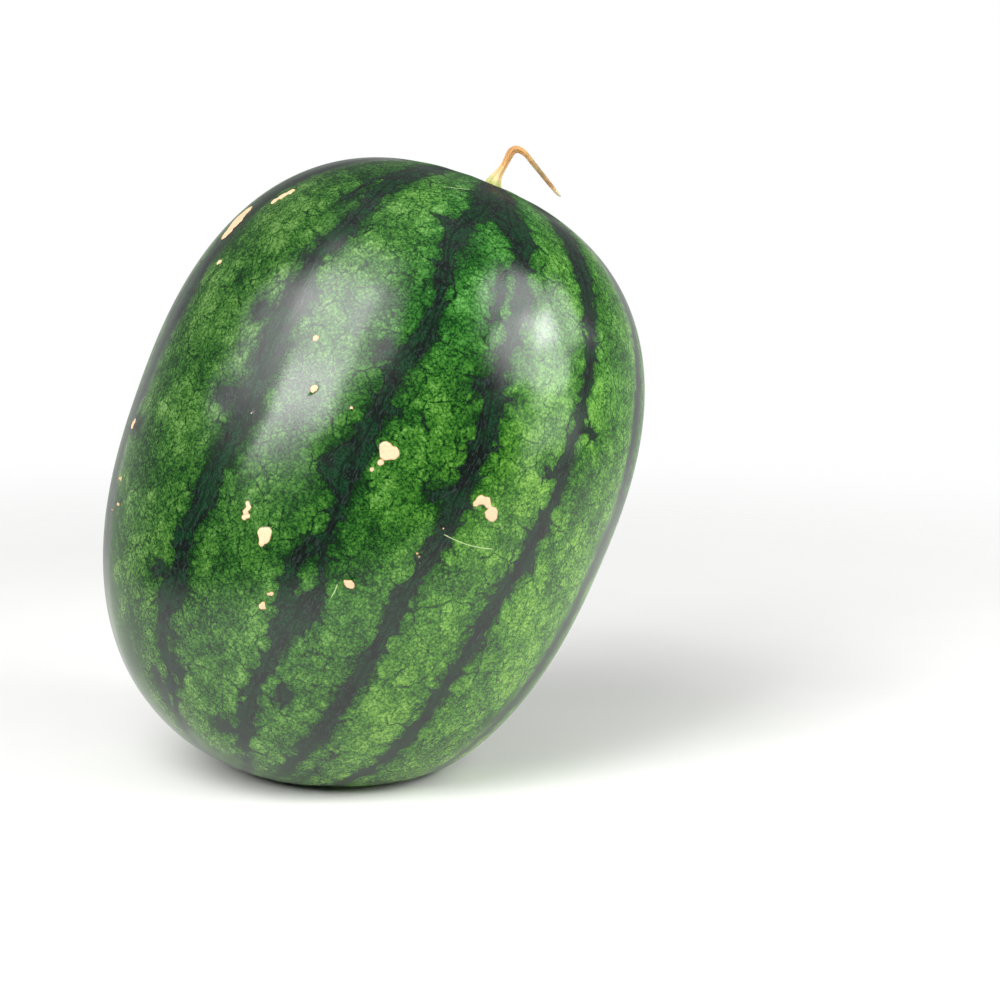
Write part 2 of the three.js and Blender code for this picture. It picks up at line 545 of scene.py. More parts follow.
STRIPES = (
    Stripe((
        (80, -66, -58), (70, -68, -60), (60, -71, -61), (50, -72, -63), (42, -72.5, -64.5),
        (36, -72.5, -65.5), (30, -71.5, -66), (22, -73, -66.2), (15, -73.5, -65.2),
        (10, -73.5, -68), (3, -75, -68.8), (-5, -76, -71), (-20, -76, -72.5), (-28, -76, -72),
        (-45, -77, -73), (-65, -78, -73), (-80, -78, -74),
    )),
    Stripe((
        (80, -38, -30), (75, -35, -26), (70, -33, -26.2), (60, -34, -26.8), (52, -31.5, -26),
        (45, -31, -26), (40, -33, -25.2), (37, -33, -26), (34.5, -33.2, -29.4),
        (30, -32.8, -27), (25, -33.2, -26), (18, -33.5, -26.3), (10, -32.5, -26.8),
        (3, -33, -26.5), (0, -33, -27.8), (-5, -33.5, -29.6), (-10, -35, -29.8),
        (-16, -35.8, -29.6), (-20, -37, -32), (-27, -37, -31.6), (-32, -39.5, -31),
        (-37, -40, -35), (-45, -38.6, -35.2), (-52, -37.5, -33.2), (-60, -38, -35.2),
        (-66, -39.5, -36.3), (-80, -41, -36),
    )),
    Stripe((
        (80, 1, 9), (75, 2, 10), (65, 2, 10), (60, 1.5, 8), (57, 0, 4.8), (54, -3.5, 3.6),
        (50, -4, 2), (47, -3.5, 2.2), (44, -2, 2.8), (40, -2.4, 3), (37, -0.5, 4),
        (33, 0.5, 3.8), (29, 1, 4.8), (26, 0.5, 5), (23.5, -3, 4.2), (20, -3, 1),
        (15, -3.2, 1.2), (10, -3, 0.8), (5, -5.3, 1.2), (1, -8.6, 0.6), (-2, -7, 0.1),
        (-5, -3, 0.2), (-12, -3.2, 0), (-15, -7.8, 0.5), (-20, -8.3, 1.8), (-24, -7.5, 3.5),
        (-27, -6.8, 3), (-30, -6.2, -0.5), (-35, -6.2, -1.8), (-40, -7.2, -2.4),
        (-44, -8.4, -4), (-50, -9.2, -2.6), (-56, -9.5, -2.5), (-61, -9, -2), (-66, -5, -2),
        (-80, -4, -1),
    )),
    Stripe((
        (80, 9, 14), (75, 10, 18), (70, 11, 18), (65, 10, 19.5), (60, 9, 23.5),
        (57.5, 12, 24.8), (55, 17.5, 24.8), (50, 17.5, 23), (47, 18, 22.2), (43, 19.3, 25),
        (38, 19.8, 25), (34, 19.6, 24.2), (30, 19.5, 23.2), (26, 19.4, 23), (23, 17.5, 24),
        (21, 18.5, 25), (17, 19.5, 25), (12.5, 19.8, 26), (5, 20, 24), (2, 18, 25),
        (0, 19.5, 25), (-3, 21, 25), (-7, 19.5, 24), (-12, 18.5, 22), (-18, 17.5, 21.5),
        (-30, 16.5, 21), (-45, 15.5, 20), (-55, 14, 19), (-64, 13.5, 18), (-72, 14.5, 17),
        (-82, 14, 17),
    )),
    Stripe((
        (80, 44, 53), (73, 43, 52.5), (68, 41.6, 52.8), (62, 42, 50.5), (57, 41.6, 49),
        (53, 42.3, 48), (48, 43.1, 48.3), (44, 43.6, 47.4), (40, 44, 47.5), (36, 44.4, 48.2),
        (32, 44.4, 47.5), (25, 44, 47.4), (20, 44, 47.2), (15, 43.6, 47.2), (7, 44, 46.5),
        (3, 42.6, 48), (0, 42.4, 46.6), (-4, 42.6, 47), (-8, 40.6, 44.6), (-15, 39.5, 43.5),
        (-28, 39, 43), (-45, 40, 44.5), (-60, 41, 45), (-75, 42, 46),
    )),
    Stripe((
        (80, 70, 79), (70, 72, 80), (50, 73, 79), (45, 72, 77.5), (40, 71.6, 76.6),
        (35, 71.6, 76), (30, 71.6, 78), (25, 71.6, 75.2), (20, 72.5, 78), (15, 74.3, 77.6),
        (8, 74.2, 79), (0, 74, 79), (-15, 73, 77.5), (-40, 72, 76), (-60, 73, 77),
        (-80, 73, 78),
    )),
)
PATCHES = (
    Patch(20.5, -36.5, 5, 5), Patch(53, -36.5, 9, 2.5), Patch(4.5, -36, 4, 6),
    Patch(-29, -41, 3, 6), Patch(-53, -42.5, 4, 4), Patch(-57.5, -40.5, 5, 4.5),
    Patch(-46, -33.8, 14, 2.4), Patch(-48.5, -31.5, 4, 3.5), Patch(22, -4.5, 3, 4),
    Patch(53.5, -5.5, 1.5, 4), Patch(12.4, 4.5, 0.8, 7), Patch(-58.5, -13.5, 3.5, 9, -12),
    Patch(-43.5, 2.5, 4, 5), Patch(-19, -2.2, 7, 4.6, paint=Paint.RIND),
    Patch(40.5, 16.3, 10, 2.8), Patch(22, 17.2, 2, 2.5), Patch(21.8, 26, 1.0, 4),
    Patch(2, 17, 1.5, 4), Patch(-62, 26, 9, 1.6), Patch(22, 50, 1.1, 5),
    Patch(12.3, 41.3, 1.5, 4, 30), Patch(-6, -67, 2.5, 6),
)
SCARS = (
    Scar(5.5, 4.0, ((-0.9, 1.8, 2.5), (1.9, -0.2, 2.7), (-0.9, -0.8, 2.3), (-2.7, -4.0, 1.2))),
    Scar(1.8, 2.1, ((0, 0, 0.8), (0.5, 0.3, 0.5))),
    Scar(3.7, 27.6, ((-2.6, -0.9, 1.3), (-0.6, 0.6, 1.9), (1.8, 0.0, 1.7), (2.8, -1.8, 1.3))),
    Scar(2.2, 30.9, ((0.2, -0.4, 2.5), (-1.5, 0.5, 1.5), (1.0, 1.2, 1.6), (-0.6, 2.2, 1.2))),
    Scar(-15.3, -14.6, ((0.9, 1.6, 2.0), (-1.1, 1.6, 1.9), (-0.2, -0.6, 2.3), (-1.5, -2.8, 1.1))),
    Scar(
        -12.2,
        -20.7,
        ((0.3, 2.6, 1.0), (0.8, 0.8, 1.1), (-0.5, -0.6, 1.2), (-1.1, -2.8, 1.1), (0.6, -2.4, 0.9)),
    ),
    Scar(19.2, -20.4, ((0, 0, 1.1), (0.6, 0.3, 0.8))),
    Scar(10.9, -16.0, ((0, 0.3, 1.3), (-0.5, -0.8, 0.9), (0.8, 0.7, 0.8))),
    Scar(10.2, -6.7, ((0, 0, 0.55),)),
    Scar(-17.6, 6.8, ((-1.2, 0.9, 1.0), (0.3, 0.0, 1.6), (1.4, -0.9, 0.8))),
    Scar(-24.5, -9.2, ((-0.7, 0, 0.7), (0.6, 0.1, 0.7))),
    Scar(-27.1, -10.1, ((-0.4, -0.4, 1.1), (0.4, 0.7, 0.9), (0.9, -0.8, 0.6))),
    Scar(35.8, -71.0, ((0, 0, 5.2), (-1.5, 6.0, 3.6), (1.0, -5.5, 4.0), (-2.5, 2.0, 4.2)), 0),
    Scar(44.8, -59.3, ((0, 0, 2.4), (1.6, 3.4, 2.0), (-1.4, -3.4, 2.0)), 0),
    Scar(26.4, -60.8, ((0, 0, 1.2), (1.2, 0.4, 0.9)), 0),
    Scar(-6.4, -70.0, ((0, 0, 1.9), (0.9, 1.4, 1.3)), 0),
    Scar(-16.2, -67.5, ((-1.2, 0, 0.8), (1.0, 0.2, 0.9)), 0),
    Scar(-20.7, -65.0, ((-1.0, 0, 0.8), (0.9, 0.2, 0.8)), 0),
    Scar(-22.2, -69.5, ((-2.0, 0, 0.4), (0, 0, 0.4), (2.0, 0, 0.4)), 0),
    Scar(-8.6, 18.6, ((-0.5, 0.8, 0.45), (0.4, -0.7, 0.5))),
    Scar(-9.9, 19.7, ((0, 0, 0.4),)),
    Scar(-2.9, 21.6, ((0, 0, 0.35),)),
    Scar(3.2, -27.8, ((0, 0, 0.4),)),
    Scar(12.0, 118.0, ((0, 0, 2.4), (1.2, 2.2, 1.6), (-0.4, -2.0, 1.7)), 0),
    Scar(-22.0, 149.0, ((-1.6, 0, 2.3), (1.8, 0.6, 1.9), (3.6, -0.8, 0.9)), 0),
    Scar(31.0, 176.0, ((0, 0, 1.5), (0.8, 1.1, 1.0)), 0),
    Scar(3.0, -151.0, ((0, 0, 2.7), (-0.6, 3.4, 1.6), (1.4, -2.6, 2.0)), 0),
    Scar(-35.0, -118.0, ((0, 0, 2.0), (-1.0, 1.4, 1.1)), 0),
    Scar(-31.0, -113.0, ((0, 0, 1.0),), 0),
    Scar(44.0, -98.0, ((0, 0.6, 1.4), (0.4, -1.2, 1.2)), 0),
    Scar(-90.0, 0.0, ((0, 0, 3.4), (1.2, 0.8, 2.6)), 0),
)
SCRATCHES = (
    Scratch(-3.5, 28.4, ((-10.6, 3.4, 0.6), (0, -0.8, 0.6), (10.6, -3.4, 0.6)), sag=1.1),
    Scratch(-19.6, 4.3, ((1.2, 2.6, 0.6), (-1.3, -2.8, 0.6)), sag=-0.3),
    Scratch(66.6, -8.0, ((4.2, 3.4, 0.6), (0, 0, 0.6), (-5.4, -3.0, 0.6)), 4, sag=-0.8),
)


@dataclass(frozen=True)
class HiddenStripes:
    """The stripes of the side that is turned away, grown by a rule from a seeded draw."""

    seed: int = 11
    middles: tuple[float, ...] = (104.0, 135.0, 166.0, -163.0, -132.0, -101.0)
    half_width: tuple[float, float] = (1.7, 3.6)
    wander: float = 1.1
    step: int = 6
    branches: int = 4

    def grow(self) -> tuple[tuple[Stripe, ...], tuple[Patch, ...]]:
        """Draws the stripes.

        Returns:
            The stripes, and the patches that branch off them.
        """
        draw = np.random.default_rng(self.seed)
        stripes, patches = [], []
        for middle in self.middles:
            at, edges = middle, []
            for latitude in range(84, -85, -self.step):
                at += draw.uniform(-self.wander, self.wander) + 0.15 * (middle - at)
                half = draw.uniform(*self.half_width)
                edges.append((float(latitude), at - half, at + half))
            stripes.append(Stripe(tuple(edges)))
            for _ in range(self.branches):
                side = draw.choice((-1.0, 1.0))
                place = draw.uniform(-60, 60), middle + side * draw.uniform(3.5, 6)
                size = draw.uniform(1.5, 6), draw.uniform(2.5, 6)
                patches.append(Patch(*place, *size, draw.uniform(-30, 30)))
        return tuple(stripes), tuple(patches)


@dataclass(frozen=True)
class Fade:
    """A share that grows along an axis of the fruit, or towards a middle on it."""

    axis: Axis
    start: float
    full: float
    middle: float | None = None

    def share(self, graph: Graph, place: Signal) -> Signal:
        """0 at the start and 1 at the full place, both in millimetres from any middle."""
        at = graph.part(place, self.axis)
        if self.middle is not None:
            at = abs(at - self.middle)
        return at.step(self.start, self.full)


@dataclass(frozen=True)
class Zone:
    """A part of the skin whose green is lighter or darker, or has a tint."""

    fades: tuple[Fade, ...]
    tone: float = 0.0
    tint: tuple[float, float, float] = (1.0, 1.0, 1.0)

    def share(self, graph: Graph, place: Signal) -> Signal:
        """How far each point is in the zone, from 0 to 1."""
        share = self.fades[0].share(graph, place)
        for fade in self.fades[1:]:
            share = share * fade.share(graph, place)
        return share


@dataclass(frozen=True)
class Skin:
    """What the parts of the rind's finish share: the point on the fruit, and noises there."""

    graph: Graph
    place: Signal
    patch: Signal
    speck: Signal
    lobe: Signal


@dataclass(frozen=True)
class RindFinish:
    """The waxy skin: mottled green between near-black stripes, with corky scars.

    Sizes and widths are in millimetres. Tones run from 0 to 1 along the ramp of greens, and a
    depth is how far a tone drops.
    """

    deep: COLOUR = srgb(6, 34, 10)
    shade: COLOUR = srgb(24, 70, 19)
    leaf: COLOUR = srgb(57, 106, 35)
    pale: COLOUR = srgb(106, 150, 75)
    stripe_dark: COLOUR = srgb(5, 13, 9)
    stripe_fibre: COLOUR = srgb(38, 48, 46)
    stripe_green: COLOUR = srgb(12, 54, 26)
    cork: COLOUR = srgb(222, 184, 148)
    cork_rim: COLOUR = srgb(164, 112, 66)
    scratch: COLOUR = srgb(168, 188, 134)
    # Parts of the skin made lighter, darker or tinted: most are painted light and shade, as marked
    # below.
    zones: tuple[Zone, ...] = (
        # Painted light: lighter and yellower towards the right, where the side softboxes fall.
        Zone((Fade(Axis.X, -10, 80),), 0.08, (1.0, 1.12, 0.8)),
        # Painted warm light: redder and less blue low on the right.
        Zone((Fade(Axis.X, -10, 80), Fade(Axis.Z, 80, 10)), 0.0, (1.3, 1.1, 0.9)),
        # Painted warm reflection: redder and paler towards the underside.
        Zone((Fade(Axis.Z, -30, -90),), 0.0, (1.22, 1.12, 1.0)),
        # Painted cool sheen: less green and so bluer towards the left.
        Zone((Fade(Axis.X, 10, -70),), 0.0, (0.96, 0.82, 1.0)),
        Zone((Fade(Axis.X, 30, 10, 10), Fade(Axis.Z, 35, 75)), 0.0, (0.66, 0.86, 0.95)),
        # Painted shade: darker in a band across the middle, below the key highlight.
        Zone((Fade(Axis.X, 78, 30, -20), Fade(Axis.Z, 60, 15, 0)), -0.1),
        # Painted highlight: lighter right of the middle, below the side highlight.
        Zone((Fade(Axis.X, 25, 8, 60), Fade(Axis.Z, 32, 10, 38)), 0.12),
    )
    broad: float = 26.0
    lobe: float = 10.0
    patch: float = 7.0
    net: float = 3.6
    cell: float = 1.7
    grain: float = 1.5
    speck: float = 0.8
    tone: float = 0.63
    seam_depth: float = 0.42
    net_depth: float = 0.22
    vein_depth: float = 0.36
    lobe_depth: float = 0.06
    stripe_depth: float = 0.28
    stripe_reach: float = 4.5
    spur: float = 4.4
    spur_width: float = 2.7
    margin: float = 1.4
    ragged: tuple[float, float] = (2.2, 1.4)
    border: float = 0.5
    scar_ragged: float = 1.3
    scar_border: float = 0.06
    line_width: tuple[float, float] = (0.24, 0.1)
    roughness: float = 0.2
    dull_stem_end: Fade = Fade(Axis.Z, 126, 130)
    dull: float = 0.35
    cork_roughness: float = 0.6
    grain_relief: float = 0.03

    def material(self, frame: Matrix) -> bpy.types.Material:
        """Makes the material.

        Args:
            frame: the fruit's own frame, in metres.

        Returns:
            The material.
        """
        graph = Graph.of_material("rind")
        place = graph.place(frame)
        skin = Skin(
            graph,
            place,
            patch=graph.noise(place, self.patch, 3.0, 0.6),
            speck=graph.noise(place, self.speck, 2.0, 0.6),
            lobe=graph.borders(graph.nudged(place, 6.0, 5.0), self.lobe),
        )
        edge = self._rough_edge(skin)
        here = edge.step(self.border, -self.border)
        colour = graph.mix(here, self._green(skin, edge), self._dark(skin, edge))
        cork_gap = graph.attribute("scar")
        cork_gap = cork_gap + self.scar_ragged * (graph.noise(place, 1.5, 3.0, 0.6) - 0.5)
        cork_here = cork_gap.step(self.scar_border, -self.scar_border)
        colour = graph.mix(cork_here, colour, self._cork(skin, cork_gap))
        line = abs(graph.attribute("above")).step(*self.line_width)
        line = line * graph.attribute("beyond").step(0.3, -0.6) * skin.patch.step(0.3, 0.45)
        dull = self.dull * self.dull_stem_end.share(graph, place)
        rough = self.roughness + 0.12 * (skin.speck - 0.5) + dull
        return graph.finish(
            {
                "Base Color": graph.mix(line * 0.9, colour, self.scratch),
                "Roughness": rough.most(cork_here * self.cork_roughness),
                "Normal": graph.bump(skin.speck, self.grain_relief),
            }
        )

    def _rough_edge(self, skin: Skin) -> Signal:
        """Millimetres outside a stripe's ragged edge, with spurs along the lobes' borders."""
        spur = (1 - skin.lobe / self.spur_width).most(0.0) ** 1.5
        spur = spur * (self.spur * skin.patch.step(0.32, 0.6))
        ragged = self.ragged[0] * (skin.patch - 0.5) + self.ragged[1] * (skin.speck - 0.5)
        return skin.graph.attribute("edge") - spur + self.margin + ragged

    def _green(self, skin: Skin, edge: Signal) -> Signal:
        """The mottled green between the stripes, from the millimetres outside a stripe, with
        painted light and shade laid over it in zones.
        """
        graph, place = skin.graph, skin.place
        broad = graph.noise(place, self.broad)
        grain = graph.noise(place, self.grain, 2.5, 0.65)
        seam = graph.borders(graph.nudged(place, 1.0, 1.6), self.cell).step(0.36, 0.0)
        net = graph.borders(graph.nudged(place, 2.5, 3.0), self.net).step(0.36, 0.05)
        vein = (skin.lobe + 0.7 * (grain - 0.5)).step(0.42, 0.1)
        vein = vein * graph.noise(place, self.patch, 3.0).step(0.47, 0.6)
        tone = self.tone + (grain - 0.5) + (skin.patch - 0.5) + (broad - 0.5)
        tone = tone - self.seam_depth * seam * skin.speck.step(0.34, 0.58)
        tone = tone - self.net_depth * net * graph.noise(place, 4.0).step(0.46, 0.62)
        tone = tone - self.lobe_depth * skin.lobe.step(2.0, 0.0) - self.vein_depth * vein
        tone = tone - self.stripe_depth * edge.step(self.stripe_reach, 0.0)
        # Most zones paint light, shade or warm reflections over the green; one deepens the middle's
        # own green.
        shares = [zone.share(graph, place) for zone in self.zones]
        for zone, share in zip(self.zones, shares):
            tone = tone + zone.tone * share
        green = graph.ramp(
            tone, ((0.0, self.deep), (0.32, self.shade), (0.62, self.leaf), (1.0, self.pale))
        )
        for zone, share in zip(self.zones, shares):
            green = graph.tinted(green, zone.tint, share)
        return green

    def _dark(self, skin: Skin, edge: Signal) -> Signal:
        """The near-black of the stripes, with fibres along them and green in between."""
        graph, place = skin.graph, skin.place
        bent = graph.nudged(place, 4.0, 3.0)
        fibre = graph.noise(graph.vector_maths("MULTIPLY", bent, (1.0, 1.0, 0.25)), 0.8, 3.0, 0.6)
        middle = graph.attribute("middle") + 3.0 * (graph.noise(place, 14.0, 1.0) - 0.5)
        seam = graph.borders(graph.nudged(place, 1.3, 1.5), 1.5).step(0.05, 0.4)
        dark = graph.mix(fibre.step(0.46, 0.68), self.stripe_dark, self.stripe_fibre)
        inner = edge.step(-0.4, -1.6) * skin.patch.step(0.38, 0.58) * (0.3 + 0.7 * seam)
        dark = graph.mix(inner, dark, self.stripe_green)
        return graph.mix(abs(middle).step(0.8, 0.2) * 0.6, dark, self.stripe_dark)

    def _cork(self, skin: Skin, gap: Signal) -> Signal:
        """The corky scars' colour, browner in flecks and at the rim, from the gap to their edge."""
        fleck = skin.graph.noise(skin.place, 1.1, 3.0, 0.6).step(0.5, 0.75) * 0.35
        cork = skin.graph.mix(fleck, self.cork, self.cork_rim)
        return skin.graph.mix(gap.step(-0.3, 0.0) * 0.8, cork, self.cork_rim)


@dataclass
class Rind:
    """The skin of the whole fruit, from stem end to blossom end."""

    shape: FruitShape
    finish: RindFinish
    stripes: tuple[Stripe, ...]
    patches: tuple[Patch, ...]
    scars: tuple[Scar, ...]
    scratches: tuple[Scratch, ...]
    segments: int = 400
    rows: int = 200
    scar_cuts: int = 3
    scar_margin: float = 1.6
    scar_height: float = 0.24
    scar_slope: tuple[float, float] = (0.15, -0.45)
    stripe_sink: float = 0.3
    stripe_slope: tuple[float, float] = (-2.0, 9.0)
    stripe_join: float = 2.0
    stem_fill: float = 1.3
    stem_fill_latitudes: tuple[float, float] = (44.0, 60.0)
    middle: Vector = field(default_factory=Vector)

    def build(self, box: tuple[Vector, Vector]) -> bpy.types.Object:
        """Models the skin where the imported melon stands.

        Args:
            box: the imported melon's lowest and highest corners, in metres.

        Returns:
            The piece.
        """
        bm = bmesh.new()
        bmesh.ops.create_uvsphere(
            bm, u_segments=self.segments, v_segments=self.rows, radius=1.0
        )
        self._refine_scars(bm)
        mesh = mesh_of(bm, "melon_skin")
        latitude, longitude = self._places(points_of(mesh))
        grown = self.shape.points(latitude, longitude)
        edge, beside = self._stripe_fields(latitude, longitude)
        edge -= self.stem_fill * eased(latitude, *self.stem_fill_latitudes)
        scar = self._scar_field(grown)
        above, beyond = self._scratch_fields(grown)
        relief = self.stripe_sink * (eased(edge, *self.stripe_slope) - 1)
        relief += self.scar_height * eased(scar, *self.scar_slope)
        grown += relief[:, None] * self.shape.outward(latitude, longitude)
        self.middle = box[1] / MM - Vector(self.shape.placed(grown, Vector()).max(axis=0))
        placed = self.shape.placed(grown, self.middle)
        placed[:, 2] = self.shape.settled(placed[:, 2])
        self._unwrap(mesh, latitude, longitude)
        fields = {
            "edge": edge, "middle": beside, "scar": scar, "above": above, "beyond": beyond
        }
        return piece_of(mesh, placed, fields)

    def dress(self, piece: bpy.types.Object) -> None:
        """Gives the skin its finish."""
        frame = Matrix.Translation(self.middle * MM) @ self.shape.lean()
        piece.data.materials.append(self.finish.material(frame))

    def _places(self, points: Array) -> tuple[Array, Array]:
        """The latitudes and longitudes of points of the unit ball."""
        ball = points / np.linalg.norm(points, axis=1, keepdims=True)
        share = np.degrees(np.arcsin(np.clip(ball[:, 2], -1, 1))) / 180 + 0.5
        return self.shape.latitude_at(share), np.degrees(np.arctan2(ball[:, 0], -ball[:, 1]))

    def _refine_scars(self, bm: bmesh.types.BMesh) -> None:
        """Cuts the faces finer where a scar's outline and relief need it."""
        points = np.array([vertex.co for vertex in bm.verts])
        latitude, longitude = self._places(points)
        places = self.shape.points(latitude, longitude)
        above, beyond = self._scratch_fields(places)
        gap = np.minimum(self._scar_field(places), np.maximum(np.abs(above), beyond))
        near = gap < self.scar_margin
        edges = [e for e in bm.edges if near[e.verts[0].index] and near[e.verts[1].index]]
        bmesh.ops.subdivide_edges(bm, edges=edges, cuts=self.scar_cuts, use_grid_fill=True)
        for vertex in bm.verts:
            vertex.co.normalize()

    def _stripe_fields(
        self, latitude: Array, longitude: Array
    ) -> tuple[Array, Array]:
        """Millimetres outside the nearest stripe, below 0 inside, and right of its middle."""
        edge, middle = np.full_like(latitude, FAR), np.full_like(latitude, FAR)
        for stripe in self.stripes:
            gap, beside = stripe.gap_and_middle(self.shape, latitude, longitude)
            middle = np.where(gap < edge, beside, middle)
            edge = smooth_min(edge, gap, self.stripe_join)
        for patch in self.patches:
            gap = patch.gap(self.shape, latitude, longitude)
            if patch.paint is Paint.STRIPE:
                edge = smooth_min(edge, gap, self.stripe_join)
            else:
                edge = -smooth_min(-edge, gap, self.stripe_join)
        return edge, middle

    def _scar_field(self, points: Array) -> Array:
        """Millimetres outside the nearest scar's edge, below 0 inside."""
        gap = np.full(len(points), FAR)
        for scar in self.scars:
            gap = np.minimum(gap, scar.gap(self.shape, points))
        return gap

    def _scratch_fields(self, points: Array) -> tuple[Array, Array]:
        """Millimetres above the nearest scratch, and beyond its nearer end."""
        above, beyond, nearest = (np.full(len(points), FAR) for _ in range(3))
        for scratch in self.scratches:
            over, past = scratch.line(self.shape, points)
            apart = np.maximum(np.abs(over), past)
            above = np.where(apart < nearest, over, above)
            beyond = np.where(apart < nearest, past, beyond)
            nearest = np.minimum(nearest, apart)
        return above, beyond

    def _unwrap(self, mesh: bpy.types.Mesh, latitude: Array, longitude: Array) -> None:
        """Lays the skin out flat, longitude across and length of skin up."""
        corners = np.empty(len(mesh.loops), dtype=np.int32)
        mesh.loops.foreach_get("vertex_index", corners)
        counts = np.empty(len(mesh.polygons), dtype=np.int32)
        mesh.polygons.foreach_get("loop_total", counts)
        middles = np.empty(len(mesh.polygons) * 3, dtype=np.float32)
        mesh.polygons.foreach_get("center", middles)
        right, back = middles.reshape(-1, 3)[:, :2].T
        face = np.repeat(np.degrees(np.arctan2(right, -back)), counts)
        at_pole = np.abs(latitude[corners]) > 89.999
        across = np.where(at_pole, face, face + wrapped(longitude[corners] - face))
        arcs = self.shape.arc(latitude)[corners]
        layer = mesh.uv_layers.new(name="OFBake")
        flat = np.stack([across / 360 + 0.5, arcs / self.shape.arc(np.array(90.0))], axis=-1)
        layer.uv.foreach_set("vector", flat.astype(np.float32).ravel())


@dataclass(frozen=True)
class StemFinish:
    """Dried stalk: green at the foot, straw and orange-brown above, pale where it was cut."""

    foot: COLOUR = srgb(156, 168, 94)
    straw: COLOUR = srgb(212, 186, 134)
    tan: COLOUR = srgb(196, 146, 82)
    ochre: COLOUR = srgb(172, 122, 70)
    olive: COLOUR = srgb(142, 126, 80)
    tip: COLOUR = srgb(206, 200, 156)
    crease: COLOUR = srgb(104, 78, 42)

    blotch: float = 2.2
    speck: float = 0.4
    speck_relief: float = 0.12
    roughness: float = 0.72

    def material(self) -> bpy.types.Material:
        """Makes the material."""
        graph = Graph.of_material("dried_stem")
        along = graph.attribute("along")
        place = graph.place()
        speck = graph.noise(place, self.speck, 3.0, 0.6)
        blotch = graph.noise(place, self.blotch)
        base = graph.ramp(
            along + 0.1 * (blotch - 0.5),
            (
                (0.0, self.foot),
                (0.10, self.foot),
                (0.17, self.straw),
                (0.30, self.tan),
                (0.48, self.ochre),
                (0.66, self.tan),
                (0.78, self.olive),
                (0.88, self.ochre),
                (1.0, self.tip),
            ),
        )
        hollow = graph.attribute("ridge").step(0.1, -0.9) * 0.3
        stained = along.step(0.6, 0.72) * blotch.step(0.62, 0.4) * 0.6
        colour = graph.mix(stained, graph.mix(hollow, base, self.crease), self.crease)
        colour = graph.mix(speck.step(0.5, 0.74) * 0.55, colour, self.straw)
        return graph.finish(
            {
                "Base Color": graph.mix(speck.step(0.42, 0.3) * 0.35, colour, self.crease),
                "Roughness": self.roughness + 0.2 * (speck - 0.5),
                "Normal": graph.bump(speck, self.speck_relief),
            }
        )


@dataclass
class Stem:
    """The dried length of stalk left on the fruit: foot, ridged neck, hook and cut branch."""

    shape: FruitShape
    finish: StemFinish
    offset: float = 3.1
    line: tuple[tuple[float, float, float, float], ...] = (
        (0.0, 0.0, 0.0, 4.4), (-0.2, 0.0, 2.2, 3.8), (-0.3, 0.0, 4.2, 3.1), (-0.1, 0.0, 6.4, 2.35),
        (0.4, 0.0, 8.8, 1.75), (1.0, 0.1, 11.3, 1.4), (1.3, 0.2, 13.3, 1.35), (1.5, 0.3, 15.4, 1.5),
        (1.7, 0.4, 17.5, 1.62), (2.3, 0.6, 19.4, 1.6), (3.7, 0.8, 20.5, 1.48),
        (5.7, 1.0, 20.6, 1.3), (8.3, 1.2, 19.8, 1.12), (12.0, 1.4, 17.7, 1.05),
        (15.9, 1.4, 15.5, 0.97), (19.7, 1.2, 13.3, 0.92), (23.6, 0.9, 11.1, 0.8),
        (26.2, 0.6, 9.6, 0.6), (27.9, 0.4, 8.9, 0.3),
    )
    sides: int = 48
    steps: int = 150
    ridges: int = 5
    relief: float = 0.09
    twist: float = 0.8
    sunk: float = 0.7
    dip_rise: float = 0.06
    upright: float = 0.08

    def build(self, middle: Vector) -> bpy.types.Object:
        """Models the stalk on the fruit.

        Args:
            middle: the fruit's middle, in millimetres.

        Returns:
            The piece.
        """
        bm = bmesh.new()
        bmesh.ops.create_cone(
            bm, cap_ends=True, segments=self.sides, radius1=1.0, radius2=1.0, depth=1.0
        )
        upright = [e for e in bm.edges if abs(e.verts[0].co.z - e.verts[1].co.z) > 0.5]
        bmesh.ops.subdivide_edges(bm, edges=upright, cuts=self.steps)
        mesh = mesh_of(bm, "stem_stalk")
        points = points_of(mesh)
        along, turn = points[:, 2] + 0.5, np.arctan2(points[:, 1], points[:, 0])
        ridge = np.cos(self.ridges * (turn + self.twist * along))
        foot = float(self.shape.along(np.array(90.0))) + self.shape.stem_dip * self.dip_rise
        grown = self._bent(along, turn, ridge) + np.array([self.offset, 0.0, foot - self.sunk])
        placed = self.shape.placed(grown, middle)
        return piece_of(mesh, placed, {"along": along, "ridge": ridge})

    def dress(self, piece: bpy.types.Object) -> None:
        """Gives the stalk its finish."""
        piece.data.materials.append(self.finish.material())

    def _bent(self, along: Array, turn: Array, ridge: Array) -> Array:
        """Points bent along the middle line, from their way up, angle and place on the ridges."""
        nudge = 0.004
        middle, thickness = self._line_at(along)
        before = self._line_at(np.maximum(along - nudge, 0))[0]
        ahead = self._line_at(np.minimum(along + nudge, 1))[0] - before
        ahead /= np.linalg.norm(ahead, axis=1, keepdims=True)
        bending = eased(along, 0.0, self.upright)
        ahead *= bending[:, None]
        ahead[:, 2] += 1 - bending
        ahead /= np.linalg.norm(ahead, axis=1, keepdims=True)
        side = np.cross([0.0, 1.0, 0.0], ahead)
        side /= np.linalg.norm(side, axis=1, keepdims=True)
        out = np.cross(ahead, side)
        reach = thickness * (1 + self.relief * ridge)
        return (
            middle
            + side * (reach * np.cos(turn))[:, None]
            + out * (reach * np.sin(turn))[:, None]
        )

    def _line_at(self, along: Array) -> tuple[Array, Array]:
        """The middle line and half thickness at shares of the way up, smoothly joined."""
        knots = np.array(self.line)
        knots = np.vstack([2 * knots[0] - knots[1], knots, 2 * knots[-1] - knots[-2]])
        at = along * (len(self.line) - 1)
        index = np.clip(at.astype(int), 0, len(self.line) - 2)
        share = (at - index)[:, None]
        before, start, end, after = (knots[index + k] for k in range(4))
        smooth = 0.5 * (
            2 * start
            + (end - before) * share
            + (2 * before - 5 * start + 4 * end - after) * share**2
            + (3 * start - before - 3 * end + after) * share**3
        )
        return smooth[:, :3], smooth[:, 3]


